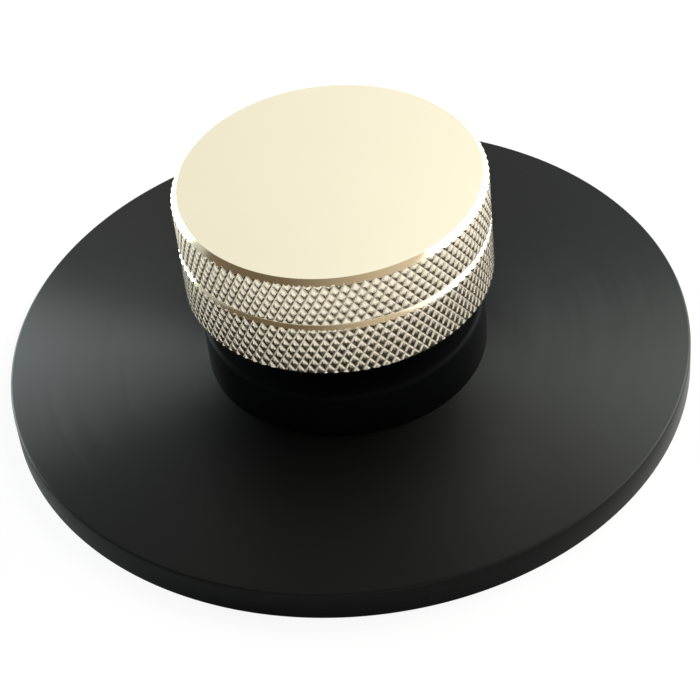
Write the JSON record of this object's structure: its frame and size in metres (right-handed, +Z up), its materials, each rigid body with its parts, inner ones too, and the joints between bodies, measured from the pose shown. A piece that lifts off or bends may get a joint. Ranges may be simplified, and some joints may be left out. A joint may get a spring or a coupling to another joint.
{
  "type": "record clamp",
  "caption": "Turntable record clamp: a knurled knob on a hub draws a split collet up a taper to grip the spindle, and a thin disc presses on the record's label.",
  "frame": {"origin": "centre of the disc's underside, on the spindle's axis, at the face that rests on the label", "axes": "+Z up the spindle's axis towards the knob, +Y towards the key pin"},
  "size_m": [0.1, 0.1, 0.0349],
  "materials": {
    "disc_black": "satin, with fine turning lines",
    "hub_black": "satin, turned",
    "washer_nylon": "matt",
    "pin_steel": "ground",
    "screw_steel": "black oxide",
    "collet_brass": "turned",
    "knob_metal": "warm satin plating, knurled"
  },
  "bodies": {
    "base": {"clamp_disc": "disc_black", "hub": "hub_black", "thrust_washer": "washer_nylon", "key_pin": "pin_steel", "hub_screw_1": "screw_steel", "hub_screw_2": "screw_steel", "hub_screw_3": "screw_steel"},
    "knob": {"knob": "knob_metal"},
    "collet": {"collet": "collet_brass"}
  },
  "joints": [
    {"name": "knob_turn", "type": "hinge", "parent": "base", "child": "knob", "pos_m": [0, 0, 0.01845], "axis": [0, 0, -1], "range_deg": [0, 360]},
    {"name": "collet_draw", "type": "slide", "parent": "base", "child": "collet", "axis": [0, 0, 1], "range_m": [0, 0.00126]}
  ],
  "couplings": [
    {"joint": "collet_draw", "follows": "knob_turn", "m_per_rad": 0.00019894}
  ]
}
